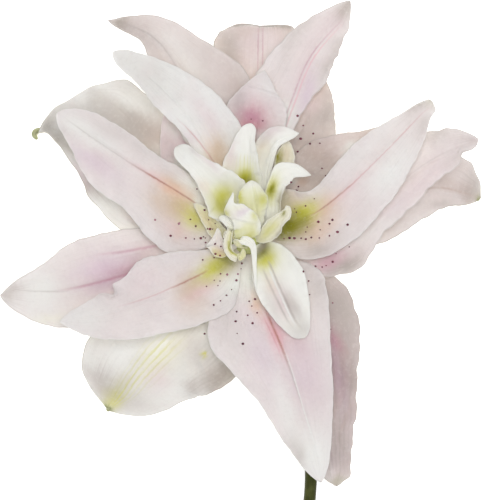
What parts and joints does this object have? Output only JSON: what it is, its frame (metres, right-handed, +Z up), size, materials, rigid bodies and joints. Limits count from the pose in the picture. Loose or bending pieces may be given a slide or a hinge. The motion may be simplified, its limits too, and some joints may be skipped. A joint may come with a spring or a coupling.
{
  "type": "oriental lily stem",
  "caption": "Cut double oriental lily lying on its back: one open white and pink bloom of recurved tepals round ruffled petaloids, on a short leafless stem.",
  "frame": {"origin": "middle of the footprint of the whole flower as it lies, on the surface it lies on", "axes": "+Z up from the surface, the way the open bloom faces; +Y from the cut end of the stem to the bloom; +X to the right of the bloom seen face on"},
  "size_m": [0.2044, 0.2784, 0.0644],
  "materials": {
    "stem_green": "smooth dark olive green stem, slightly waxy, with a faint bluish bloom",
    "outer_tepal": "soft matte petal, white with grey and pink shadows, fine lengthwise veins, greenish tips",
    "middle_tepal": "soft matte petal, white flushed with lilac pink, fine lengthwise veins",
    "inner_tepal": "soft matte petal, white with a pink midrib, yellow-green base and small raised maroon spots",
    "petaloid": "soft matte creamy white, yellow-green in the folds and at the base"
  },
  "bodies": {
    "root": {"stem": "stem_green", "receptacle": "stem_green", "tepal_outer_top": "outer_tepal", "tepal_outer_left": "outer_tepal", "tepal_outer_lower_left": "outer_tepal", "tepal_outer_bottom": "outer_tepal", "tepal_outer_right": "outer_tepal", "tepal_middle_upper_left": "middle_tepal", "tepal_middle_left": "middle_tepal", "tepal_middle_lower_left": "middle_tepal", "tepal_middle_right": "middle_tepal", "tepal_middle_upper_right": "middle_tepal", "tepal_middle_top": "middle_tepal", "tepal_inner_left": "inner_tepal", "tepal_inner_upper_left": "inner_tepal", "tepal_inner_top": "inner_tepal", "tepal_inner_upper_right": "inner_tepal", "tepal_inner_right": "inner_tepal", "tepal_inner_bottom": "inner_tepal", "tepal_inner_lower_left": "inner_tepal", "petaloid_top": "petaloid", "petaloid_top_right": "petaloid", "petaloid_back_right": "petaloid", "petaloid_right": "petaloid", "petaloid_left": "petaloid", "petaloid_bottom": "petaloid", "petaloid_bottom_strip": "petaloid", "petaloid_crumpled": "petaloid", "petaloid_bud": "petaloid", "petaloid_hood": "petaloid", "petaloid_small_left": "petaloid", "petaloid_small_right": "petaloid", "petaloid_far_left": "petaloid", "petaloid_tooth": "petaloid"}
  },
  "joints": []
}
